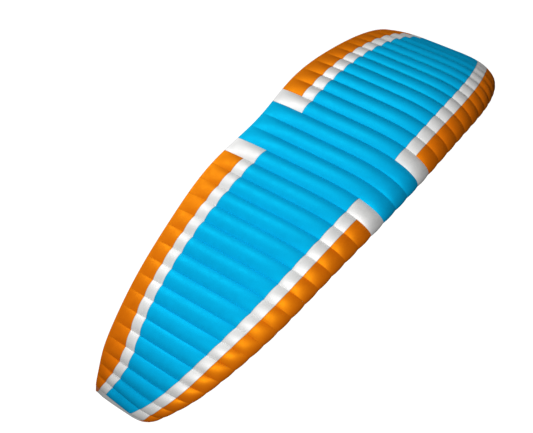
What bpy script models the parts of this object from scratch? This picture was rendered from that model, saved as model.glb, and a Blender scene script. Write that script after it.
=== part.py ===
"""Ram-air paraglider wing, inflated, in its flying arch.

The wing is a row of open-mouthed cells. Upright ribs stand chordwise between
an upper and a lower sail of thin cloth, and both sails swell a little between
each pair of ribs. Seen flat the wing tapers and sweeps back towards the tips,
and in the air the whole span hangs in an arch whose tips curl down and under.

+X runs along the span, +Y from the leading edge to the trailing edge, +Z up.
The origin is on the lower sail at mid-span, where the suspension lines pull.
All lengths are metres.
"""
import bpy
import bmesh
import numpy as np
from math import radians, sin, cos, pi, sqrt

# ---------------------------------------------------------------- dimensions
HALF_SPAN = 5.45        # half the span of the wing laid flat
CELLS = 37              # cells between the two end ribs
CELL_BIAS = 0.096       # middle cells are wider than the outer ones
CAMBER = 0.018          # height of the rib's mean line, and where it is highest
CAMBER_AT = 0.35
TRIM = (0.0640, -0.4440, 0.3630)   # makes the upper side fuller in front and flatter behind
SWELL = 0.125           # rise of the cloth between two ribs, per cell width
SWELL_FADES_AT = 0.70   # the swelling dies out from here to the trailing edge
NOSE_SWELL = 0.27       # the stiff nose swells by this part only,
NOSE_ENDS_AT = 0.35     # and the full swelling starts here, the root of the chord part
CLOTH = 0.003           # sail cloth
RIB_CLOTH = 0.002       # rib cloth
SEAM_GAP = 0.0015       # between panels that share a seam
RIB_GAP = 0.0016        # between a rib's edge and the sail over it
TRAILING_HALF = 0.0036  # half the outside height at the trailing edge
UPPER_LIP = 0.013       # the upper sail wraps the nose to here, on the underside
LOWER_LIP = 0.048       # the lower sail starts here: the mouth is between them
BAND_END_RIB = 16       # the coloured bands stop at this rib, left and right
CAP_CELLS = 1           # cells of white that close each band's end
FRONT_JOINTS = (6, 11)  # the orange front strip is joined over these ribs
LOWER_JOINT = 8         # and the lower sail over this one
TIP_FRONT = 0.09        # width of the closing panel beyond each end rib, at its
TIP_REAR = 0.26         # nose and at its trailing edge
TIP_CROWN = 0.10        # rise of the closing panel above the rib's edge, per width
TIP_GAP = 0.003
ANCHOR_AT = 0.29        # the line anchor, as a part of the middle chord

# One row for each station of the half wing, which is the same left and right.
#  at        place along the flat half span, 0 in the middle and 1 at the end rib
#  tilt      slope of the arch there, degrees
#  sweep     how far the leading edge lies behind the middle one
#  chord     leading to trailing edge
#  twist     nose-down turn of the rib, degrees
#  thick     rib height as a part of the chord
#  orange_1, white_1   colour seams behind the leading edge, parts of the chord
#  white_2, orange_2   colour seams before the trailing edge
COLUMNS = ("at", "tilt", "sweep", "chord", "twist", "thick",
           "orange_1", "white_1", "white_2", "orange_2")
STATIONS = [
    (0.00,   0.0, 0.000, 2.836, -0.2, 0.17, 0.097, 0.171, 0.806, 0.878),
    (0.20,   8.5, 0.045, 2.875, -0.1, 0.17, 0.097, 0.168, 0.797, 0.868),
    (0.40,  20.0, 0.176, 2.738,  0.3, 0.17, 0.099, 0.174, 0.808, 0.879),
    (0.60,  30.3, 0.404, 2.478,  0.8, 0.17, 0.112, 0.191, 0.798, 0.875),
    (0.75,  42.9, 0.706, 2.129,  0.8, 0.17, 0.124, 0.214, 0.748, 0.837),
    (0.87,  59.7, 1.058, 1.748,  2.4, 0.17, 0.125, 0.236, 0.685, 0.786),
    (0.94,  80.8, 1.346, 1.436,  3.2, 0.18, 0.138, 0.275, 0.719, 0.832),
    (1.00, 104.2, 1.595, 1.175, -1.3, 0.22, 0.161, 0.375, 0.795, 0.919),
]

# Chordwise rows of each strip of cloth, between its two seams.
NOSE_ROWS = 4
FIELD_ROWS = 5
TAIL_ROW = 0.95                                   # one row inside the last strip
LOWER_ROWS = (0.048, 0.14, 0.29, 0.50, 0.74, 0.94, 1.0)

# --------------------------------------------------------------- empty scene
for old in list(bpy.data.objects):
    bpy.data.objects.remove(old, do_unlink=True)

wing = bpy.data.collections.new("paraglider_wing")
bpy.context.scene.collection.children.link(wing)


def material(name, colour, roughness):
    mat = bpy.data.materials.new(name)
    mat.use_nodes = True
    shader = mat.node_tree.nodes["Principled BSDF"]
    shader.inputs["Base Color"].default_value = (*colour, 1.0)
    shader.inputs["Roughness"].default_value = roughness
    shader.inputs["Metallic"].default_value = 0.0
    return mat


BLUE = material("ripstop_blue", (0.002, 0.430, 0.800), 0.55)
WHITE = material("ripstop_white", (0.82, 0.82, 0.81), 0.55)
ORANGE = material("ripstop_orange", (0.800, 0.190, 0.004), 0.55)
RIB_WHITE = material("rib_cloth", (0.78, 0.78, 0.77), 0.60)


# ------------------------------------------------------- shape of the canopy
def smooth_column(name):
    """Cubic through one column of the table. The wing is symmetric about the
    middle, so the curve leaves station 0 level, and the tilt leaves it
    straight."""
    x = np.array([row[0] for row in STATIONS])
    y = np.array([row[COLUMNS.index(name)] for row in STATIONS])
    n, h = len(x), np.diff(x)
    a, b = np.zeros((n, n)), np.zeros(n)
    if name == "tilt":
        a[0, 0] = 1.0
    else:
        a[0, 0], a[0, 1] = 2 * h[0], h[0]
        b[0] = 6 * (y[1] - y[0]) / h[0]
    for i in range(1, n - 1):
        a[i, i - 1:i + 2] = h[i - 1], 2 * (h[i - 1] + h[i]), h[i]
        b[i] = 6 * ((y[i + 1] - y[i]) / h[i] - (y[i] - y[i - 1]) / h[i - 1])
    a[-1, -2:] = -1.0, 1.0
    m = np.linalg.solve(a, b)

    def curve(at):
        i = int(np.clip(np.searchsorted(x, at) - 1, 0, n - 2))
        d = x[i + 1] - x[i]
        p, q = (x[i + 1] - at) / d, (at - x[i]) / d
        return float(p * y[i] + q * y[i + 1]
                     + ((p ** 3 - p) * m[i] + (q ** 3 - q) * m[i + 1]) * d * d / 6)
    return curve


SHAPE = {name: smooth_column(name) for name in COLUMNS[1:]}

# The arch: the flat half span laid along its own slope, in short steps.
STEPS = np.linspace(0.0, 1.1, 441)
slopes = np.radians([SHAPE["tilt"](a) for a in STEPS])
step = (STEPS[1] - STEPS[0]) * HALF_SPAN
ARCH_X = np.concatenate([[0], np.cumsum((np.cos(slopes[1:]) + np.cos(slopes[:-1])) / 2 * step)])
ARCH_Z = -np.concatenate([[0], np.cumsum((np.sin(slopes[1:]) + np.sin(slopes[:-1])) / 2 * step)])


def station(k):
    """Place along the flat span, -1 to 1, of rib k, or of mid-cell at k + 0.5."""
    u = (k - CELLS / 2) / (CELLS / 2)
    return u * (1 + CELL_BIAS * (1 - u * u))


def arch(s):
    side = -1.0 if s < 0 else 1.0
    return (side * float(np.interp(abs(s), STEPS, ARCH_X)),
            float(np.interp(abs(s), STEPS, ARCH_Z)),
            side * radians(SHAPE["tilt"](abs(s))))


def outline(g, s):
    """Outside of a rib with its sails, in metres from the nose. g runs from -1,
    the lower trailing edge, through 0, the nose, to 1, the upper trailing
    edge, and g squared is the part of the chord."""
    chord, thick = SHAPE["chord"](abs(s)), SHAPE["thick"](abs(s))
    x, side = g * g, (1.0 if g >= 0 else -1.0)
    half = 5 * thick * (0.2969 * abs(g) - 0.1260 * x - 0.3516 * x ** 2
                        + 0.2843 * x ** 3 - 0.1036 * x ** 4)
    if g > 0:
        half += x * (1 - x) * (TRIM[0] + TRIM[1] * x + TRIM[2] * x * x)
    if x < CAMBER_AT:
        mean = CAMBER / CAMBER_AT ** 2 * (2 * CAMBER_AT * x - x * x)
    else:
        mean = CAMBER / (1 - CAMBER_AT) ** 2 * ((1 - 2 * CAMBER_AT) + 2 * CAMBER_AT * x - x * x)
    return np.array([x * chord, (mean + side * half) * chord + side * TRAILING_HALF * x])


def swollen(g, s, rise):
    """The outline moved out by rise, square to the surface."""
    lo, hi = outline(max(g - 1e-3, -1.0), s), outline(min(g + 1e-3, 1.0), s)
    along = (hi - lo) / np.linalg.norm(hi - lo)
    fade = 1.0 - np.clip((g * g - SWELL_FADES_AT) / (1 - SWELL_FADES_AT), 0, 1) ** 2
    back = min(abs(g) / NOSE_ENDS_AT, 1.0)
    fade *= NOSE_SWELL + (1 - NOSE_SWELL) * back * back * (3 - 2 * back)
    return outline(g, s) + np.array([-along[1], along[0]]) * rise * fade


def in_rib(point, s):
    """A rib's own (aft, up) point turned by the twist, about the quarter chord."""
    chord, twist = SHAPE["chord"](abs(s)), radians(SHAPE["twist"](abs(s)))
    aft, up = point[0] - 0.25 * chord, point[1]
    return (0.25 * chord + aft * cos(twist) + up * sin(twist),
            -aft * sin(twist) + up * cos(twist))


def in_wing(point, s):
    """The same point in the wing."""
    aft, up = in_rib(point, s)
    x, z, tilt = arch(s)
    return np.array([x + sin(tilt) * up, SHAPE["sweep"](abs(s)) + aft, z + cos(tilt) * up])


def seam(name, s, shift=0.0):
    """A colour seam as g; shift moves it along the chord, in metres."""
    return sqrt(SHAPE[name](abs(s)) + shift / SHAPE["chord"](abs(s)))


# ------------------------------------------------- rows of each strip of cloth
LIP = -sqrt(UPPER_LIP)


def nose_rows(s, end=0.0):
    edge = seam("orange_1", s, end)
    return [LIP + (edge - LIP) * i / NOSE_ROWS for i in range(NOSE_ROWS + 1)]


def field_rows(s, inset=0.0):
    a, b = seam("white_1", s, inset), seam("white_2", s, -inset)
    return [a + (b - a) * i / FIELD_ROWS for i in range(FIELD_ROWS + 1)]


def tail_rows(s, start=0.0):
    return [seam("orange_2", s, start), max(sqrt(TAIL_ROW), seam("orange_2", s, start) + 0.012), 1.0]


def lower_rows(s):
    return [-sqrt(x) for x in LOWER_ROWS]


H = SEAM_GAP / 2
ORANGE_1 = lambda s: nose_rows(s, -H)
WHITE_1 = lambda s: nose_rows(s, H) + [seam("white_1", s, -H)]
FIELD = lambda s: field_rows(s, H)
WHITE_2 = lambda s: [seam("white_2", s, H)] + tail_rows(s, -H)
ORANGE_2 = lambda s: tail_rows(s, H)
WHOLE = lambda s: nose_rows(s) + field_rows(s) + tail_rows(s)


# ------------------------------------------------------------------- builders
def sheet_modifier(obj, thickness, offset):
    mod = obj.modifiers.new("cloth", "SOLIDIFY")
    mod.thickness = thickness
    mod.offset = offset
    mod.use_even_offset = True
    mod.use_rim = True


def add(name, bm, mat, parent):
    mesh = bpy.data.meshes.new(name)
    bm.to_mesh(mesh)
    bm.free()
    mesh.materials.append(mat)
    obj = bpy.data.objects.new(name, mesh)
    wing.objects.link(obj)
    obj.parent = parent
    return obj


def flat_grid(columns, rows):
    """A flat grid of cloth, and each vertex with its column and row."""
    bm = bmesh.new()
    bmesh.ops.create_grid(bm, x_segments=columns - 1, y_segments=rows - 1, size=1.0)
    bm.verts.ensure_lookup_table()
    place = {}
    for v in bm.verts:
        place[v] = (round((v.co.x + 1) / 2 * (columns - 1)), round((v.co.y + 1) / 2 * (rows - 1)))
    return bm, place


def sail(name, first, last, rows, mat, parent, cut=None):
    """Cloth over cells first to last, with a fold line at each rib and a crown
    line at each mid-cell. cut(cell, row) is true where the strip has no cloth."""
    columns = 2 * (last - first) + 1
    count = len(rows(0.0))
    bm, place = flat_grid(columns, count)
    if cut:
        gone = []
        for face in bm.faces:
            cell = first + min(place[v][0] for v in face.verts) // 2
            if cut(cell, min(place[v][1] for v in face.verts)):
                gone.append(face)
        bmesh.ops.delete(bm, geom=gone, context="FACES")
    inset = H / HALF_SPAN
    for v in bm.verts:
        i, j = place[v]
        k = first + i / 2
        s = station(k) + (inset if i == 0 else -inset if i == columns - 1 else 0.0)
        width = (station(k + 0.5) - station(k - 0.5)) * HALF_SPAN
        rise = SWELL * width if i % 2 else 0.0
        v.co = in_wing(swollen(rows(s)[j], s, rise), s)
    if rows(0.0)[-1] < 0:            # lower rows run the other way round
        bmesh.ops.reverse_faces(bm, faces=bm.faces)
    obj = add(name, bm, mat, parent)
    sheet_modifier(obj, CLOTH, -1.0)
    return obj


def rib_outline(s):
    """The rib's edge: the sails' own rows, moved in by the cloth and the gap."""
    nose, field, tail = nose_rows(s), field_rows(s), tail_rows(s)
    low = lower_rows(s)
    edge = [low[5], low[4], low[3], low[1], low[0]] + nose + [field[1], field[3], field[5], tail[1]]
    points = np.array([outline(g, s) for g in edge])
    inset = CLOTH + RIB_GAP
    moved = []
    for i, p in enumerate(points):
        before = p - points[i - 1]
        after = points[(i + 1) % len(points)] - p
        before, after = before / np.linalg.norm(before), after / np.linalg.norm(after)
        inward = np.array([before[1] + after[1], -before[0] - after[0]])
        inward /= np.linalg.norm(inward)
        square = np.array([before[1], -before[0]])
        moved.append(p + inward * inset / max(float(inward @ square), 0.5))
    return moved


def rib(name, k, parent):
    s = station(k)
    points = rib_outline(s)
    bm = bmesh.new()
    bmesh.ops.create_circle(bm, cap_ends=True, radius=1.0, segments=len(points))
    bm.verts.ensure_lookup_table()
    around = sorted(bm.verts, key=lambda v: np.arctan2(v.co.y, v.co.x))
    for v, p in zip(around, points):
        aft, up = in_rib(p, s)
        v.co = (0.0, aft, up)
    obj = add(name, bm, RIB_WHITE, parent)
    x, z, tilt = arch(s)
    obj.location = (x, SHAPE["sweep"](abs(s)), z)
    obj.rotation_euler = (0.0, tilt, 0.0)
    sheet_modifier(obj, RIB_CLOTH, 0.0)
    return obj


def tip(name, side, parent):
    """The closing panel: round the end rib from its upper to its lower edge,
    wider towards the trailing edge."""
    s = float(side)
    field, tail = field_rows(s), tail_rows(s)
    stations = [0.125, 0.25] + field[::2] + [tail[0], 0.985]
    turns = 4
    bm, place = flat_grid(turns + 1, len(stations))
    x, z, tilt = arch(s)
    outward = np.array([side * cos(tilt), 0.0, -side * sin(tilt)])
    for v in bm.verts:
        i, j = place[v]
        g, turn = stations[j], pi * i / turns
        upper, lower = in_wing(outline(g, s), s), in_wing(outline(-g, s), s)
        middle, half = (upper + lower) / 2, np.linalg.norm(upper - lower) / 2
        width = (TIP_FRONT + (TIP_REAR - TIP_FRONT) * g) * min(1.0, 0.35 + g * 1.6, 0.55 + (1 - g * g) * 9)
        level = (1 if i < turns / 2 else -1) * abs(cos(turn)) ** 0.7 * half
        v.co = (middle + (upper - middle) / half * (level + TIP_CROWN * width * sin(2 * turn))
                + outward * (TIP_GAP + width * abs(sin(turn)) ** 0.8))
    if side < 0:
        bmesh.ops.reverse_faces(bm, faces=bm.faces)
    obj = add(name, bm, WHITE, parent)
    sheet_modifier(obj, CLOTH, -1.0)
    return obj


# ---------------------------------------------------------------------- wing
root = bpy.data.objects.new("canopy", None)
wing.objects.link(root)
anchor = in_wing(swollen(-sqrt(ANCHOR_AT), 0.0,
                         SWELL * (station(19) - station(18)) * HALF_SPAN), 0.0)
root.location = (0.0, -anchor[1], -anchor[2])

LAST = CELLS
A = BAND_END_RIB                     # 16: the orange stops
B = BAND_END_RIB + CAP_CELLS         # 17: the white stops, blue reaches the edges
for label, lo, hi, cap in (("left", 0, B, A), ("right", LAST - B, LAST, LAST - B)):
    def cells(first, last, mirrored=label == "right"):
        return (LAST - last, LAST - first) if mirrored else (first, last)

    ends = (0, *FRONT_JOINTS, A)
    for i, part in enumerate(("outer", "middle", "inner")):
        sail("upper_orange_front_%s_%s" % (part, label), *cells(ends[i], ends[i + 1]),
             ORANGE_1, ORANGE, root)
    sail("upper_white_front_" + label, lo, hi, WHITE_1, WHITE, root,
         cut=lambda cell, row, cap=cap: cell != cap and row < NOSE_ROWS)
    sail("upper_blue_" + label, lo, hi, FIELD, BLUE, root)
    sail("upper_white_rear_" + label, lo, hi, WHITE_2, WHITE, root,
         cut=lambda cell, row, cap=cap: cell != cap and row > 0)
    sail("upper_orange_rear_" + label, *cells(0, A), ORANGE_2, ORANGE, root)
    sail("lower_outer_" + label, *cells(0, LOWER_JOINT), lower_rows, WHITE, root)
    sail("lower_inner_" + label, *cells(LOWER_JOINT, B), lower_rows, WHITE, root)
sail("upper_blue_middle", B, LAST - B, WHOLE, BLUE, root)
sail("lower_middle", B, LAST - B, lower_rows, WHITE, root)

for k in range(CELLS + 1):
    rib("rib_%02d" % (k + 1), k, root)

tip("tip_left", -1, root)
tip("tip_right", 1, root)
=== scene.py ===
"""Looks of the ram-air paraglider wing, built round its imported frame.

Every sail strip is one continuous sheet, swollen between the ribs, with hems,
lapped colour seams and its own cut. The ribs and the closing panels at the
tips are cloth too. All lengths are metres, in the frame of the CAD part.
"""
from math import asin, cos, pi, radians, sin

import bpy
import numpy as np
from mathutils import Matrix, Vector


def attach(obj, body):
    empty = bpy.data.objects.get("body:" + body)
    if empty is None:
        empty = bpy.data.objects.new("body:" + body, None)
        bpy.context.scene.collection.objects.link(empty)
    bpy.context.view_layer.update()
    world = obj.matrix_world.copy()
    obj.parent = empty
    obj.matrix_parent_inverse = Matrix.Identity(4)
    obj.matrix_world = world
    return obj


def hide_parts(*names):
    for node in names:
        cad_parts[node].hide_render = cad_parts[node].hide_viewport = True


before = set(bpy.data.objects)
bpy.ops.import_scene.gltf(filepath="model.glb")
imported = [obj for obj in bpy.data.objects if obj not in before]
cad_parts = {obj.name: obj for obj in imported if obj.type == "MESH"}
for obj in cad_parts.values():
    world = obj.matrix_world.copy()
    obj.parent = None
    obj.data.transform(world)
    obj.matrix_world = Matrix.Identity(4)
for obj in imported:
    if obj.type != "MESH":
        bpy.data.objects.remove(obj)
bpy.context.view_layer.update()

# ---------------------------------------------------------------- dimensions
HALF_SPAN = 5.45        # half the span of the wing laid flat
CELLS = 37
CELL_BIAS = 0.096       # middle cells are wider than the outer ones
CAMBER = 0.018
CAMBER_AT = 0.35
TRIM = (0.0640, -0.4440, 0.3630)   # makes the upper side fuller in front and flatter behind
SWELL = 0.125           # rise of the cloth between two ribs, per cell width
UPPER_FULLNESS = 1.30   # the upper sail, pulled up by the lift, swells this much more
SWELL_FADES_AT = 0.70   # the swelling dies out from here to the trailing edge
NOSE_SWELL = 0.27       # the stiff nose swells by this part only,
NOSE_ENDS_AT = 0.35     # and the full swelling starts here, the root of the chord part
TRAILING_HALF = 0.0036
UPPER_LIP = 0.013       # the upper sail wraps the nose to here, on the underside
LOWER_LIP = 0.048       # the lower sail starts here: the mouth is between them
BAND_END_RIB = 16       # the orange stops here, the white one cell further in
FRONT_JOINTS = (6, 11)  # the orange front strip is joined over these ribs
LOWER_JOINT = 8         # and the lower sail over this one
TIP_FRONT = 0.02        # width of the closing panel beyond each end rib, at its
TIP_REAR = 0.25         # nose and at its trailing edge
TIP_BAND = (0.161, 0.919)          # its two ends are orange, up to here at the end rib
TIP_BAND_RIM = (0.290, 0.985)      # and up to here at the rim
TIP_FLARE = 0.035       # the rim runs out aft by this at the trailing edge
TIP_CROWN = 0.10
TIP_GAP = 0.003
ANCHOR_AT = 0.29
CLOTH = 0.0012          # drawn thickness of the sail cloth
RIB_CLOTH = 0.0012
RIB_INSET = 0.0030      # from the outside of the sail to the rib's edge
LAP = 0.0016            # depth of the cloth that is lapped under its neighbour
HEM = 0.0009            # extra height of a folded hem

COLUMNS = ("at", "tilt", "sweep", "chord", "twist", "thick",
           "orange_1", "white_1", "white_2", "orange_2")
STATIONS = np.array([
    (0.00,   0.0, 0.000, 2.836, -0.2, 0.17, 0.097, 0.171, 0.806, 0.878),
    (0.20,   8.5, 0.045, 2.875, -0.1, 0.17, 0.097, 0.168, 0.797, 0.868),
    (0.40,  20.0, 0.176, 2.738,  0.3, 0.17, 0.099, 0.174, 0.808, 0.879),
    (0.60,  30.3, 0.404, 2.478,  0.8, 0.17, 0.112, 0.191, 0.798, 0.875),
    (0.75,  42.9, 0.706, 2.129,  0.8, 0.17, 0.124, 0.214, 0.748, 0.837),
    (0.87,  59.7, 1.058, 1.748,  2.4, 0.17, 0.125, 0.236, 0.685, 0.786),
    (0.94,  80.8, 1.346, 1.436,  3.2, 0.18, 0.138, 0.275, 0.719, 0.832),
    (1.00, 104.2, 1.595, 1.175, -1.3, 0.22, 0.161, 0.375, 0.795, 0.919),
])


# ------------------------------------------------------- shape of the canopy
def smooth_column(name):
    """Cubic through one column of the table, level at the middle of the wing;
    the tilt passes the middle straight."""
    x, y = STATIONS[:, 0], STATIONS[:, COLUMNS.index(name)]
    n, h = len(x), np.diff(x)
    a, b = np.zeros((n, n)), np.zeros(n)
    if name == "tilt":
        a[0, 0] = 1.0
    else:
        a[0, 0], a[0, 1] = 2 * h[0], h[0]
        b[0] = 6 * (y[1] - y[0]) / h[0]
    for i in range(1, n - 1):
        a[i, i - 1:i + 2] = h[i - 1], 2 * (h[i - 1] + h[i]), h[i]
        b[i] = 6 * ((y[i + 1] - y[i]) / h[i] - (y[i] - y[i - 1]) / h[i - 1])
    a[-1, -2:] = -1.0, 1.0
    m = np.linalg.solve(a, b)

    def curve(at):
        at = np.asarray(at, float)
        i = np.clip(np.searchsorted(x, at) - 1, 0, n - 2)
        d = x[i + 1] - x[i]
        p, q = (x[i + 1] - at) / d, (at - x[i]) / d
        return (p * y[i] + q * y[i + 1]
                + ((p ** 3 - p) * m[i] + (q ** 3 - q) * m[i + 1]) * d * d / 6)
    return curve


SHAPE = {name: smooth_column(name) for name in COLUMNS[1:]}
STEPS = np.linspace(0.0, 1.1, 441)
slopes = np.radians(SHAPE["tilt"](STEPS))
step = (STEPS[1] - STEPS[0]) * HALF_SPAN
ARCH_X = np.concatenate([[0], np.cumsum((np.cos(slopes[1:]) + np.cos(slopes[:-1])) / 2 * step)])
ARCH_Z = -np.concatenate([[0], np.cumsum((np.sin(slopes[1:]) + np.sin(slopes[:-1])) / 2 * step)])


def station(k):
    u = (np.asarray(k, float) - CELLS / 2) / (CELLS / 2)
    return u * (1 + CELL_BIAS * (1 - u * u))


def cell_width(cell):
    return (station(np.asarray(cell) + 1) - station(cell)) * HALF_SPAN


def arch(s):
    side, a = np.where(s < 0, -1.0, 1.0), np.abs(s)
    return (side * np.interp(a, STEPS, ARCH_X), np.interp(a, STEPS, ARCH_Z),
            side * np.radians(SHAPE["tilt"](a)))


def outline(g, chord, thick):
    """Outside of the section, metres from the nose. g runs from -1, the lower
    trailing edge, through 0, the nose, to 1, the upper trailing edge."""
    x, side, a = g * g, np.where(g >= 0, 1.0, -1.0), np.abs(g)
    half = 5 * thick * (0.2969 * a - 0.1260 * x - 0.3516 * x ** 2
                        + 0.2843 * x ** 3 - 0.1036 * x ** 4)
    half = half + np.where(g > 0, x * (1 - x) * (TRIM[0] + TRIM[1] * x + TRIM[2] * x * x), 0.0)
    mean = np.where(
        x < CAMBER_AT,
        CAMBER / CAMBER_AT ** 2 * (2 * CAMBER_AT * x - x * x),
        CAMBER / (1 - CAMBER_AT) ** 2 * ((1 - 2 * CAMBER_AT) + 2 * CAMBER_AT * x - x * x))
    return x * chord, (mean + side * half) * chord + side * TRAILING_HALF * x


def outline_lifted(g, chord, thick, lift):
    """The outline moved out by lift, square to the surface."""
    x0, z0 = outline(np.maximum(g - 1e-3, -1.0), chord, thick)
    x1, z1 = outline(np.minimum(g + 1e-3, 1.0), chord, thick)
    dx, dz = x1 - x0, z1 - z0
    size = np.hypot(dx, dz)
    x, z = outline(g, chord, thick)
    return x - dz / size * lift, z + dx / size * lift


def in_wing(x, z, s):
    """A section's own (aft, up) point, twisted and put on the arch."""
    a = np.abs(s)
    chord, twist = SHAPE["chord"](a), np.radians(SHAPE["twist"](a))
    aft, up = x - 0.25 * chord, z
    aft, up = 0.25 * chord + aft * np.cos(twist) + up * np.sin(twist), -aft * np.sin(twist) + up * np.cos(twist)
    wx, wz, tilt = arch(s)
    return np.stack([wx + np.sin(tilt) * up, SHAPE["sweep"](a) + aft, wz + np.cos(tilt) * up], -1)


# Distance along the section's outline, for a chord of 1, from the nose.
G_TABLE = np.linspace(-1.0, 1.0, 4001)
_x, _z = outline(G_TABLE, 1.0, STATIONS[0, COLUMNS.index("thick")])
RUN_TABLE = np.concatenate([[0], np.cumsum(np.hypot(np.diff(_x), np.diff(_z)))])
RUN_TABLE -= np.interp(0.0, G_TABLE, RUN_TABLE)


def run_of(g, chord):
    return np.interp(g, G_TABLE, RUN_TABLE) * chord


def g_of(run, chord):
    return np.interp(run / chord, RUN_TABLE, G_TABLE)


ARC_RADIUS = (0.25 + SWELL ** 2) / (2 * SWELL)          # per cell width
CLOTH_PER_CELL = 2 * ARC_RADIUS * asin(0.5 / ARC_RADIUS)  # cloth over a cell, per its width
CLOTH_PER_UPPER_CELL = 1 + (CLOTH_PER_CELL - 1) * UPPER_FULLNESS ** 2


def scatter(*numbers):
    """A fixed value from -1 to 1 for each set of whole numbers."""
    v = np.zeros(np.broadcast(*numbers).shape)
    for i, n in enumerate(numbers):
        v = v + np.asarray(n, float) * (12.9898, 78.233, 37.719)[i]
    return (np.sin(v) * 43758.5453) % 1.0 * 2 - 1


def swelling(cell, t, g):
    """How far the inflated cloth stands off the section at t across its cell."""
    rise = (np.sqrt(ARC_RADIUS ** 2 - (t - 0.5) ** 2) - (ARC_RADIUS - SWELL)) * cell_width(cell)
    x = g * g
    fade = 1 - np.clip((x - SWELL_FADES_AT) / (1 - SWELL_FADES_AT), 0, 1) ** 2
    back = np.clip(np.abs(g) / NOSE_ENDS_AT, 0, 1)
    fade = fade * (NOSE_SWELL + (1 - NOSE_SWELL) * back * back * (3 - 2 * back))
    fade = fade * (1 + (UPPER_FULLNESS - 1) * np.clip(g / 0.55, 0, 1))
    # No two cells are sewn quite alike, and the crown wanders a little.
    side = np.where(g >= 0, 0, 1)
    uneven = (1 + 0.018 * scatter(cell, side)
              + 0.012 * np.sin(2 * pi * (2.3 * x + scatter(cell, side, 5)))
              + 0.008 * np.sin(2 * pi * (5.1 * x + scatter(cell, side, 9))))
    return rise * fade * uneven


ANCHOR_X, ANCHOR_Z = outline_lifted(np.float64(-ANCHOR_AT ** 0.5), SHAPE["chord"](0.0),
                                    SHAPE["thick"](0.0), SWELL * float(cell_width(18)))
ANCHOR = in_wing(ANCHOR_X, ANCHOR_Z, np.float64(0.0))
SHIFT = np.array([0.0, -ANCHOR[1], -ANCHOR[2]])


# ------------------------------------------------------------------ materials
def new_material(name):
    mat = bpy.data.materials.new(name)
    mat.use_nodes = True
    nodes, links = mat.node_tree.nodes, mat.node_tree.links
    nodes.clear()
    out = nodes.new("ShaderNodeOutputMaterial")
    shader = nodes.new("ShaderNodeBsdfPrincipled")
    links.new(shader.outputs[0], out.inputs[0])
    return mat, nodes, links, shader


def maths(nodes, links, how, a, b=None, c=None, clamp=False):
    node = nodes.new("ShaderNodeMath")
    node.operation = how
    node.use_clamp = clamp
    for socket, value in zip(node.inputs, (a, b, c)):
        if value is None:
            continue
        if isinstance(value, (int, float)):
            socket.default_value = value
        else:
            links.new(value, socket)
    return node.outputs[0]


def between(nodes, links, value, from_lo, from_hi, to_lo, to_hi):
    node = nodes.new("ShaderNodeMapRange")
    node.clamp = True
    node.interpolation_type = "SMOOTHSTEP"
    links.new(value, node.inputs["Value"])
    for name, number in (("From Min", from_lo), ("From Max", from_hi),
                         ("To Min", to_lo), ("To Max", to_hi)):
        node.inputs[name].default_value = number
    return node.outputs["Result"]


def noise(nodes, links, where, scale, detail=3.0, stretch=(1.0, 1.0, 1.0), roughness=0.5):
    mapping = nodes.new("ShaderNodeMapping")
    mapping.inputs["Scale"].default_value = stretch
    links.new(where, mapping.inputs["Vector"])
    tex = nodes.new("ShaderNodeTexNoise")
    tex.inputs["Scale"].default_value = scale
    tex.inputs["Detail"].default_value = detail
    tex.inputs["Roughness"].default_value = roughness
    links.new(mapping.outputs[0], tex.inputs["Vector"])
    return tex.outputs["Fac"]


def attribute(nodes, name):
    node = nodes.new("ShaderNodeAttribute")
    node.attribute_name = name
    return node.outputs["Fac"]


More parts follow.
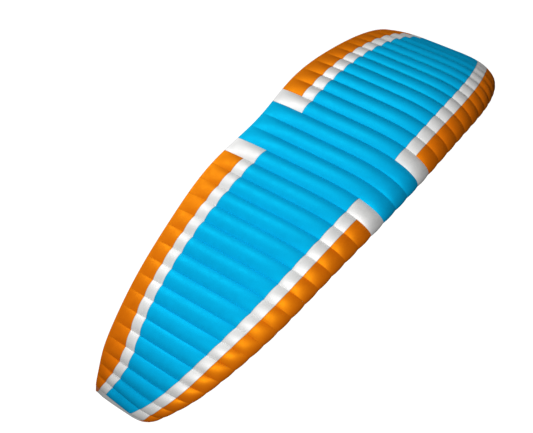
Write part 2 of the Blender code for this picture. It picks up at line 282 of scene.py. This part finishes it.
def ripstop(name, colour, roughness, tint, thread, grid=0.005, weight=1.0, ends=None):
    """Coated ripstop nylon: a square grid of thicker threads in a fine weave,
    seams with two rows of stitches, and cloth that differs a little from panel
    to panel. The maps read the cloth's own flat coordinates, in metres."""
    mat, nodes, links, shader = new_material(name)

    def m(how, a, b=None, c=None, clamp=False):
        return maths(nodes, links, how, a, b, c, clamp)

    flat = nodes.new("ShaderNodeUVMap")
    flat.uv_map = "cloth"
    split = nodes.new("ShaderNodeSeparateXYZ")
    links.new(flat.outputs[0], split.inputs[0])
    across, along = split.outputs[0], split.outputs[1]
    rib, edge, panel = attribute(nodes, "rib"), attribute(nodes, "edge"), attribute(nodes, "panel")
    place = nodes.new("ShaderNodeTexCoord").outputs["Object"]

    def lines(coordinate, period, width):
        saw = m("FRACT", m("DIVIDE", coordinate, period))
        return between(nodes, links, m("ABSOLUTE", m("SUBTRACT", saw, 0.5)),
                       0.5 - width, 0.5 - width * 0.45, 0.0, 1.0)

    threads = m("MAXIMUM", lines(across, grid, 0.11), lines(along, grid, 0.11))
    weave = m("MULTIPLY", lines(across, grid / 8, 0.5), lines(along, grid / 8, 0.5))

    # Two rows of stitches beside each rib, and one beside each join or hem.
    dashes_along = between(nodes, links, m("FRACT", m("DIVIDE", along, 0.0042)), 0.66, 0.74, 1.0, 0.0)
    dashes_across = between(nodes, links, m("FRACT", m("DIVIDE", across, 0.0042)), 0.66, 0.74, 1.0, 0.0)

    def row(distance, at):
        return between(nodes, links, m("ABSOLUTE", m("SUBTRACT", distance, at)), 0.0005, 0.0010, 1.0, 0.0)

    stitches = m("MAXIMUM",
                 m("MULTIPLY", m("MAXIMUM", row(rib, 0.0040), row(rib, 0.0090)), dashes_along),
                 m("MULTIPLY", row(edge, 0.0065), dashes_across))

    # Darker along the seams: beside the ribs and joins, unevenly, partly soil and partly painted crease shade;
    # a dark line along each join and hem; a little uneven everywhere else.
    broad = noise(nodes, links, place, 0.9, 2.0)
    blotch = noise(nodes, links, place, 7.0, 4.0, roughness=0.6)
    streak = noise(nodes, links, place, 9.0, 3.0, stretch=(1.0, 0.16, 1.0))
    joined = between(nodes, links, edge, 0.0, 0.013, 1.0, 0.0)
    seam = m("MAXIMUM", between(nodes, links, rib, 0.0, 0.016, 1.0, 0.0), joined)
    # Painted crease shade mixed with soil: darker beside the ribs and joins, unevenly.
    soil_and_crease_shade = m("MULTIPLY", seam, between(nodes, links, blotch, 0.25, 0.75, 0.35, 1.0))

    shade = m("ADD", m("MULTIPLY", panel, 0.020), 1.0)
    shade = m("ADD", shade, between(nodes, links, broad, 0.3, 0.7, -0.016, 0.016))
    shade = m("ADD", shade, between(nodes, links, blotch, 0.3, 0.7, -0.010, 0.010))
    shade = m("ADD", shade, between(nodes, links, streak, 0.3, 0.7, -0.010, 0.010))
    shade = m("SUBTRACT", shade, m("MULTIPLY", threads, 0.035 * weight))
    shade = m("SUBTRACT", shade, m("MULTIPLY", weave, 0.02 * weight))
    # Painted crease shade and soil beside the ribs and joins.
    shade = m("SUBTRACT", shade, m("MULTIPLY", soil_and_crease_shade, 0.09))
    shade = m("SUBTRACT", shade, m("MULTIPLY", joined, 0.34))

    scaled = nodes.new("ShaderNodeVectorMath")
    scaled.operation = "SCALE"
    scaled.inputs[0].default_value = colour
    if ends:
        # Both ends of the cloth have a second colour.
        dyed = nodes.new("ShaderNodeMix")
        dyed.data_type = "RGBA"
        links.new(between(nodes, links, attribute(nodes, "band"), -0.001, 0.001, 0.0, 1.0),
                  dyed.inputs["Factor"])
        dyed.inputs["A"].default_value = (*colour, 1.0)
        dyed.inputs["B"].default_value = (*ends, 1.0)
        links.new(dyed.outputs["Result"], scaled.inputs[0])
    links.new(shade, scaled.inputs["Scale"])
    mixed = nodes.new("ShaderNodeMix")
    mixed.data_type = "RGBA"
    links.new(m("MULTIPLY", stitches, 0.75), mixed.inputs["Factor"])
    links.new(scaled.outputs[0], mixed.inputs["A"])
    mixed.inputs["B"].default_value = (*thread, 1.0)
    links.new(mixed.outputs["Result"], shader.inputs["Base Color"])

    rough = m("ADD", between(nodes, links, blotch, 0.3, 0.7, roughness - 0.03, roughness + 0.04),
              m("MULTIPLY", soil_and_crease_shade, 0.08))
    rough = m("SUBTRACT", rough, m("MULTIPLY", threads, 0.05))
    links.new(rough, shader.inputs["Roughness"])

    # Height in metres: threads, stitches and the small puckers beside a seam.
    pucker = noise(nodes, links, flat.outputs[0], 1.0, 2.0, stretch=(9.0, 46.0, 1.0))
    near_rib = between(nodes, links, rib, 0.004, 0.055, 1.0, 0.0)
    height = m("MULTIPLY", threads, 0.00010)
    height = m("ADD", height, m("MULTIPLY", weave, 0.00003))
    height = m("ADD", height, m("MULTIPLY", stitches, 0.00035))
    height = m("ADD", height, m("MULTIPLY", m("MULTIPLY", m("SUBTRACT", pucker, 0.5), near_rib), 0.0010))
    height = m("ADD", height, m("MULTIPLY", streak, 0.0015))
    bump = nodes.new("ShaderNodeBump")
    bump.inputs["Strength"].default_value = 1.0
    bump.inputs["Distance"].default_value = 1.0
    links.new(height, bump.inputs["Height"])
    links.new(bump.outputs[0], shader.inputs["Normal"])

    shader.inputs["Metallic"].default_value = 0.0
    shader.inputs["IOR"].default_value = 2.3
    shader.inputs["Specular IOR Level"].default_value = 1.0
    shader.inputs["Specular Tint"].default_value = (*tint, 1.0)
    return mat


BLUE = ripstop("ripstop_blue", (0.002, 0.420, 0.807), 0.58, (0.0, 0.545, 0.75), (0.001, 0.25, 0.52))
WHITE = ripstop("ripstop_white", (0.835, 0.835, 0.825), 0.58, (1.0, 1.0, 1.0), (0.62, 0.62, 0.61))
ORANGE = ripstop("ripstop_orange", (0.852, 0.172, 0.003), 0.58, (1.0, 0.415, 0.010), (0.45, 0.085, 0.002))
TIP_CLOTH = ripstop("ripstop_white_and_orange", (0.835, 0.835, 0.825), 0.58, (1.0, 1.0, 1.0),
                    (0.62, 0.62, 0.61), ends=(0.850, 0.185, 0.003))
RIB_WHITE = ripstop("rib_cloth", (0.78, 0.78, 0.77), 0.62, (1.0, 1.0, 1.0), (0.60, 0.60, 0.59), grid=0.008)


# ------------------------------------------------------------------- builders
def finished(name, points, faces, uv, rib, edge, panel, mat, thickness, offset, band=None):
    """A sheet from its grid: thickness on, edges crisp, modifiers applied."""
    mesh = bpy.data.meshes.new(name)
    mesh.from_pydata(points.tolist(), [], faces.tolist())
    layer = mesh.uv_layers.new(name="cloth")
    layer.data.foreach_set("uv", np.asarray(uv, np.float32).ravel())
    kept = [("rib", rib, "POINT"), ("edge", edge, "POINT"), ("panel", panel, "FACE")]
    if band is not None:
        kept.append(("band", band, "POINT"))
    for label, values, domain in kept:
        attribute_ = mesh.attributes.new(label, "FLOAT", domain)
        attribute_.data.foreach_set("value", np.asarray(values, np.float32))
    mesh.polygons.foreach_set("use_smooth", np.ones(len(faces), bool))
    mesh.materials.append(mat)
    obj = bpy.data.objects.new(name, mesh)
    bpy.context.scene.collection.objects.link(obj)
    mod = obj.modifiers.new("cloth", "SOLIDIFY")
    mod.thickness, mod.offset, mod.use_even_offset, mod.use_rim = thickness, offset, False, True
    graph = bpy.context.evaluated_depsgraph_get()
    final = bpy.data.meshes.new_from_object(obj.evaluated_get(graph), preserve_all_data_layers=True,
                                            depsgraph=graph)
    obj.modifiers.clear()
    obj.data = final
    bpy.data.meshes.remove(mesh)
    final.name = name
    final.set_sharp_from_angle(angle=radians(48))
    return obj


def grid_faces(columns, rows, flip, keep=None):
    i, j = np.meshgrid(np.arange(columns - 1), np.arange(rows - 1), indexing="ij")
    a = i * rows + j
    quads = np.stack([a, a + rows, a + rows + 1, a + 1], -1)
    if flip:
        quads = quads[..., ::-1]
    mask = np.ones(i.shape, bool) if keep is None else keep(i, j)
    return quads[mask], i[mask], j[mask]


def trimmed(points, faces, *values):
    """Without the vertices that no face uses."""
    used = np.unique(faces)
    where = np.full(len(points), -1)
    where[used] = np.arange(len(used))
    return (points[used], where[faces]) + tuple(v[used] for v in values)


# Rows beside an edge: how far from it, in metres, and how far off the surface.
HEMMED = [(0.0, HEM), (0.0025, HEM), (0.0115, HEM), (0.0140, 0.0)]
LAPS_OVER = [(0.0, 0.0), (0.0040, 0.0), (0.0120, 0.0)]
LAPS_UNDER = [(-0.0070, -LAP), (0.0030, -LAP), (0.0110, 0.0)]
PLAIN = [(0.0, 0.0), (0.0120, 0.0)]


def seam_run(name, s, chord):
    """Where a colour seam lies, as distance along the outline from the nose."""
    g = {"lip": lambda: np.full_like(s, -UPPER_LIP ** 0.5),
         "lower_lip": lambda: np.full_like(s, -LOWER_LIP ** 0.5),
         "end": lambda: np.ones_like(s),
         "lower_end": lambda: -np.ones_like(s)}.get(
             name, lambda: np.sqrt(SHAPE[name](np.abs(s))))()
    return run_of(g, chord)


def sail(name, first, last, start, end, start_rows, end_rows, rows, mat, slot,
         across=12, cap=None):
    """One strip of a sail over cells first to last, between two seams.
    cap = (cell, start seam, its rows, rows): the strip widens over that cell
    to that seam, and closes the colour band there."""
    turn = 0.5 - 0.5 * np.cos(np.linspace(0, pi, across + 1))
    cells = np.arange(first, last)
    k = np.concatenate([(c + turn[:-1]) for c in cells] + [[float(last)]])
    cell = np.minimum(np.floor(k + 1e-9), last - 1)
    t = k - cell
    s = station(k)
    inset = 0.00025 / HALF_SPAN                      # a hair's gap at the end ribs
    s[0], s[-1] = s[0] + inset, s[-1] - inset
    chord, thick = SHAPE["chord"](np.abs(s)), SHAPE["thick"](np.abs(s))

    a, b = seam_run(start, s, chord), seam_run(end, s, chord)
    way = 1.0 if b.mean() > a.mean() else -1.0
    run, lift = [], []
    if cap:
        top = seam_run(cap[1], s, chord)
        for d, l in cap[2]:
            run.append(top + way * d), lift.append(l)
        lo = top + way * cap[2][-1][0]
        hi = a + way * (start_rows[0][0] - 0.004)
        for i in range(1, cap[3]):
            run.append(lo + (hi - lo) * i / cap[3]), lift.append(0.0)
    first_row = len(run)
    for d, l in start_rows:
        run.append(a + way * d), lift.append(l)
    lo, hi = a + way * start_rows[-1][0], b - way * end_rows[-1][0]
    for i in range(1, rows):
        run.append(lo + (hi - lo) * i / rows), lift.append(0.0)
    for d, l in end_rows[::-1]:
        run.append(b - way * d), lift.append(l)
    run, lift = np.stack(run, -1), np.array(lift)[None, :] * np.ones((len(k), 1))
    if cap:      # over the cap cell there is no seam at the strip's own start
        inside = (k >= cap[0]) & (k <= cap[0] + 1)
        n = len(start_rows)
        lift[np.ix_(inside, range(first_row, first_row + n))] = 0.0
    count = run.shape[1]

    g = g_of(run, chord[:, None])
    low = way < 0
    rise = swelling(cell[:, None], t[:, None], g) + lift
    # The two sails are drawn together along the trailing edge.
    rise = rise - 0.0030 * np.clip((g * g - 0.985) / 0.012, 0, 1)
    x, z = outline_lifted(g, chord[:, None], thick[:, None], rise)
    points = in_wing(x, z, np.repeat(s[:, None], count, 1)) + SHIFT
    points = points.reshape(-1, 3)

    keep = None
    if cap:
        per = across
        c0 = (cap[0] - first) * per
        keep = lambda i, j: (j >= first_row) | ((i >= c0) & (i < c0 + per))
    faces, fi, fj = grid_faces(len(k), count, low, keep)

    per_width = CLOTH_PER_CELL if start == "lower_lip" else CLOTH_PER_UPPER_CELL
    width = cell_width(cell) * per_width
    rib = np.repeat((np.minimum(t, 1 - t) * width)[:, None], count, 1).ravel()
    if cap:
        edge_start = np.where(((k > cap[0] - 1e-6) & (k < cap[0] + 1 + 1e-6))[:, None],
                              top[:, None], a[:, None])
    else:
        edge_start = a[:, None]
    edge = np.minimum(np.abs(run - edge_start), np.abs(b[:, None] - run)).ravel()
    col, row_ = faces // count, faces % count
    cell_f = cell[fi]
    u = (k[col] - cell_f[:, None]) * cell_width(cell_f)[:, None] * per_width + cell_f[:, None] * 0.5
    uv = np.stack([u, run[col, row_]], -1)
    panel = scatter(cell_f, np.full_like(cell_f, len(name)))
    points, faces, rib, edge = trimmed(points, faces, rib, edge)
    obj = finished(name, points, faces, uv.reshape(-1, 2), rib, edge, panel, mat, CLOTH, -1.0)

    # The cut: panels side by side, each as wide as its cloth over the cell.
    mid = station(cells + 0.5)
    mid_chord = SHAPE["chord"](np.abs(mid))
    length = np.abs(seam_run(end, mid, mid_chord) - seam_run(start, mid, mid_chord))
    if cap:
        where = list(cells).index(cap[0])
        length[where] = abs(seam_run(end, mid, mid_chord)[where] - seam_run(cap[1], mid, mid_chord)[where])
    cloth = cell_width(cells) * per_width
    flat = (float(cloth.sum()), float(length.max()))
    area = float((cloth * length).sum())
    # A cut that fills little of its rectangle is stated by the mean length.
    if area < 0.32 * flat[0] * flat[1]:
        flat = (flat[0], area / flat[0] * 1.5)
    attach(obj, "root")
    return obj, flat, area


def area_under(height, along):
    return float(((height[1:] + height[:-1]) / 2 * np.diff(along)).sum())


def rib(k):
    """One rib: cloth from edge to edge of the section, just inside the sails."""
    s = np.float64(station(k))
    chord, thick = float(SHAPE["chord"](abs(s))), float(SHAPE["thick"](abs(s)))
    columns, rows = 58, 9
    g = np.concatenate([[0.006, 0.016, 0.03], np.linspace(0.05, 0.992, columns - 3)])
    xu, zu = outline_lifted(g, chord, thick, -RIB_INSET)
    xl, zl = outline_lifted(-g, chord, thick, -RIB_INSET)
    open_ = zu - zl > 0.0012
    g, xu, zu, xl, zl = (v[open_] for v in (g, xu, zu, xl, zl))
    v = np.linspace(0, 1, rows)
    x = xl[:, None] + (xu - xl)[:, None] * v
    z = zl[:, None] + (zu - zl)[:, None] * v
    points = in_wing(x, z, np.full_like(x, s))
    # Pressure is the same on both sides, but the cloth is never quite flat.
    side = np.array([cos(float(arch(s)[2])), 0.0, -sin(float(arch(s)[2]))])
    slack = 0.0022 * np.sin(pi * v)[None, :] * np.sin(2 * pi * (3.2 * g[:, None] ** 2 + 0.7 * v + 0.5 * float(scatter(k, 3))))
    points = (points + side * slack[..., None] + SHIFT).reshape(-1, 3)
    faces, fi, fj = grid_faces(len(g), rows, False)
    uv = np.stack([z.ravel()[faces], x.ravel()[faces]], -1).reshape(-1, 2)
    edge = np.minimum(z - zl[:, None], zu[:, None] - z).ravel()
    far = np.full(len(points), 1.0)
    panel = np.full(len(faces), float(scatter(k, 11)))
    name = "cloth_rib_%02d" % (k + 1)
    obj = finished(name, points, faces, uv, far, edge, panel, RIB_WHITE, RIB_CLOTH, 0.0)
    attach(obj, "root")
    high = float((zu - zl).max())
    area = area_under(zu - zl, (xu + xl) / 2)
    return obj, (high, chord * 0.985), area


def tip(name, side):
    """The closing panel: round the end rib from its upper to its lower edge,
    wider towards the trailing edge."""
    s = float(side)
    chord, thick = float(SHAPE["chord"](1.0)), float(SHAPE["thick"](1.0))
    columns, rows = 90, 29
    g = np.concatenate([[0.05, 0.07, 0.095], np.linspace(0.125, 0.985, columns - 9),
                        [0.988, 0.991, 0.994, 0.996, 0.9975, 0.9985]])
    turn = np.linspace(0, pi, rows)
    one = np.full_like(g, s)
    xu, zu = outline_lifted(g, chord, thick, 0.0)
    xl, zl = outline_lifted(-g, chord, thick, 0.0)
    upper, lower = in_wing(xu, zu, one), in_wing(xl, zl, one)
    tilt = float(arch(np.float64(s))[2])
    outward = np.array([side * cos(tilt), 0.0, -side * sin(tilt)])
    middle = (upper + lower) / 2
    half = np.linalg.norm(upper - lower, axis=1)[:, None] / 2
    wide = (TIP_FRONT + (TIP_REAR - TIP_FRONT) * g) * np.minimum(
        1.0, 0.35 + g * 1.6) * np.clip(g / 0.1, 0.35, 1.0)
    # The rim of the panel is pulled a little uneven by its seam.
    wide = (wide * (1 - 0.02 * (1 + np.sin(2 * pi * 3.4 * g))))[:, None]
    # It lies flat at the trailing edge, where both sides are sewn together.
    crown = TIP_CROWN * wide * np.minimum(1.0, (1 - g * g) * 7)[:, None]
    level = half * np.sign(np.cos(turn)) * np.abs(np.cos(turn)) ** 0.7 + crown * np.sin(2 * turn)
    points = (middle[:, None] + ((upper - middle) / half)[:, None] * level[..., None]
              + outward * (TIP_GAP + wide * np.sin(turn) ** 0.8)[..., None]) + SHIFT
    points[..., 1] += TIP_FLARE * (g ** 8)[:, None] * np.sin(turn)
    step_ = np.linalg.norm(np.diff(points, axis=1), axis=2)
    down = np.concatenate([np.zeros((len(g), 1)), np.cumsum(step_, 1)], 1)
    edge = np.minimum(down, down[:, -1:] - down).ravel()
    points = points.reshape(-1, 3)
    faces, fi, fj = grid_faces(len(g), rows, side > 0)
    x = np.repeat((g * g * chord)[:, None], rows, 1)
    nose, tail = (chord * (a + (b - a) * np.sin(turn))[None, :] for a, b in zip(TIP_BAND, TIP_BAND_RIM))
    band = np.maximum(nose - x, x - tail).ravel()
    uv = np.stack([down.ravel()[faces], x.ravel()[faces]], -1).reshape(-1, 2)
    obj = finished(name, points, faces, uv, np.full(len(points), 1.0), edge,
                   np.full(len(faces), 0.2 * side), TIP_CLOTH, CLOTH, -1.0, band)
    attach(obj, "root")
    girth = down[:, -1]
    area = area_under(girth, g * g * chord)
    return obj, (float(girth.max()), float(chord)), area


# ------------------------------------------------------------------ the wing
A, B, LAST = BAND_END_RIB, BAND_END_RIB + 1, CELLS
for k in range(CELLS + 1):
    obj, flat, area = rib(k)
    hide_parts("rib_%02d" % (k + 1))


def place_sail(node, first, last, *words, **more):
    obj, flat, area = sail("cloth_" + node, first, last, *words, **more)
    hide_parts(node)
    return obj


for label in ("left", "right"):
    left = label == "left"

    def span(first, last):
        return (first, last) if left else (LAST - last, LAST - first)

    cap_cell = A if left else LAST - B
    ends = (0, *FRONT_JOINTS, A)
    for i, part in enumerate(("outer", "middle", "inner")):
        place_sail("upper_orange_front_%s_%s" % (part, label), *span(ends[i], ends[i + 1]),
                   "lip", "orange_1", HEMMED, LAPS_UNDER, 16, ORANGE, "ripstop_orange")
    place_sail("upper_white_front_" + label, *span(0, B), "orange_1", "white_1",
               LAPS_OVER, LAPS_UNDER, 5, WHITE, "ripstop_white",
               cap=(cap_cell, "lip", HEMMED, 16))
    place_sail("upper_blue_" + label, *span(0, B), "white_1", "white_2",
               LAPS_OVER, LAPS_OVER, 34, BLUE, "ripstop_blue")
    # The rear white strip runs forward, from its seam with the orange one.
    place_sail("upper_white_rear_" + label, *span(0, B), "orange_2", "white_2",
               LAPS_OVER, LAPS_UNDER, 5, WHITE, "ripstop_white",
               cap=(cap_cell, "end", HEMMED, 8))
    place_sail("upper_orange_rear_" + label, *span(0, A), "orange_2", "end",
               LAPS_UNDER, HEMMED, 8, ORANGE, "ripstop_orange")
    place_sail("lower_outer_" + label, *span(0, LOWER_JOINT), "lower_lip", "lower_end",
               HEMMED, HEMMED, 40, WHITE, "ripstop_white", across=10)
    place_sail("lower_inner_" + label, *span(LOWER_JOINT, B), "lower_lip", "lower_end",
               HEMMED, HEMMED, 40, WHITE, "ripstop_white", across=10)
place_sail("upper_blue_middle", B, LAST - B, "lip", "end", HEMMED, HEMMED, 60, BLUE, "ripstop_blue")
place_sail("lower_middle", B, LAST - B, "lower_lip", "lower_end", HEMMED, HEMMED, 40,
           WHITE, "ripstop_white", across=10)

for label, side in (("left", -1), ("right", 1)):
    obj, flat, area = tip("cloth_tip_" + label, side)
    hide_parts("tip_" + label)

# ------------------------------------------------------------------ the studio
FLOOR_Z = -30.0          # the wing flies: the floor and its shadow lie far below
floor_mat, nodes, links, shader = new_material("studio_floor")
shader.inputs["Roughness"].default_value = 0.9
shader.inputs["Specular IOR Level"].default_value = 0.1
where = nodes.new("ShaderNodeTexCoord").outputs["Object"]
paint = noise(nodes, links, where, 0.4, 3.0)
pale = nodes.new("ShaderNodeMix")
pale.data_type = "RGBA"
pale.inputs["A"].default_value = (0.955, 0.955, 0.955, 1)
pale.inputs["B"].default_value = (0.975, 0.975, 0.975, 1)
links.new(paint, pale.inputs["Factor"])
links.new(pale.outputs["Result"], shader.inputs["Base Color"])
shader.inputs["Emission Color"].default_value = (1.0, 1.0, 1.0, 1)
shader.inputs["Emission Strength"].default_value = 0.26
# From below the floor is clear, so the underside of the wing can be looked at.
clear = nodes.new("ShaderNodeBsdfTransparent")
either = nodes.new("ShaderNodeMixShader")
links.new(nodes.new("ShaderNodeNewGeometry").outputs["Backfacing"], either.inputs[0])
links.new(shader.outputs[0], either.inputs[1])
links.new(clear.outputs[0], either.inputs[2])
links.new(either.outputs[0], [n for n in nodes if n.type == "OUTPUT_MATERIAL"][0].inputs[0])

bpy.ops.mesh.primitive_grid_add(x_subdivisions=8, y_subdivisions=8, size=3000, location=(0, 0, FLOOR_Z))
floor = bpy.context.object
floor.name = "studio_floor"
floor.data.materials.append(floor_mat)
floor.visible_diffuse = False
floor.visible_glossy = False
floor.visible_shadow = False


def sun(name, towards, strength, softness, colour=(1, 1, 1)):
    data = bpy.data.lights.new(name, "SUN")
    data.energy, data.angle, data.color = strength, radians(softness), colour
    lamp = bpy.data.objects.new(name, data)
    lamp.rotation_mode = "QUATERNION"
    lamp.rotation_quaternion = (-Vector(towards)).to_track_quat("-Z", "Y")
    bpy.context.scene.collection.objects.link(lamp)
    return lamp


sun("key", (-0.693, -0.342, 0.634), 2.63, 14.0)
sun("back_light", (0.260, 0.652, 0.712), 1.47, 14.0)
# Only the underside and the right tip see these two, and they leave no shine.
sun("underlight", (0.40, 0.35, -0.85), 1.10, 40.0).visible_glossy = False
sun("low_light", (0.92, 0.10, -0.38), 0.50, 40.0).visible_glossy = False

world = bpy.data.worlds.new("studio")
bpy.context.scene.world = world
world.use_nodes = True
nodes, links = world.node_tree.nodes, world.node_tree.links
nodes.clear()
out = nodes.new("ShaderNodeOutputWorld")
seen, lit = nodes.new("ShaderNodeBackground"), nodes.new("ShaderNodeBackground")
seen.inputs["Color"].default_value = (0.985, 0.985, 0.985, 1)
seen.inputs["Strength"].default_value = 1.0
lit.inputs["Color"].default_value = (1, 1, 1, 1)
lit.inputs["Strength"].default_value = 0.01
path = nodes.new("ShaderNodeLightPath")
either = nodes.new("ShaderNodeMixShader")
links.new(path.outputs["Is Camera Ray"], either.inputs[0])
links.new(lit.outputs[0], either.inputs[1])
links.new(seen.outputs[0], either.inputs[2])
links.new(either.outputs[0], out.inputs[0])
bpy.context.scene.view_settings.view_transform = "Standard"

# ------------------------------------------------------------------- camera
AZIMUTH, ELEVATION, ROLL = -58.339, 50.8706, 4.6817
DISTANCE, FOCAL = 186.23, 783.54
TARGET = Vector((-0.9728, 1.9037, -0.8175)) + Vector(SHIFT)
a, e = radians(AZIMUTH), radians(ELEVATION)
back = Vector((sin(a) * cos(e), -cos(a) * cos(e), sin(e)))
right = (-back).cross(Vector((0, 0, 1))).normalized()
up = right.cross(-back)
r = radians(ROLL)
x_axis, y_axis = right * cos(r) + up * sin(r), -right * sin(r) + up * cos(r)
camera_data = bpy.data.cameras.new("camera")
camera = bpy.data.objects.new("camera", camera_data)
bpy.context.scene.collection.objects.link(camera)
camera_data.sensor_width = 36.0
camera_data.lens = FOCAL
camera_data.clip_start, camera_data.clip_end = 1.0, 2000.0
placed = Matrix((x_axis, y_axis, back)).transposed().to_4x4()
placed.translation = TARGET + back * DISTANCE
camera.matrix_world = placed
bpy.context.scene.camera = camera
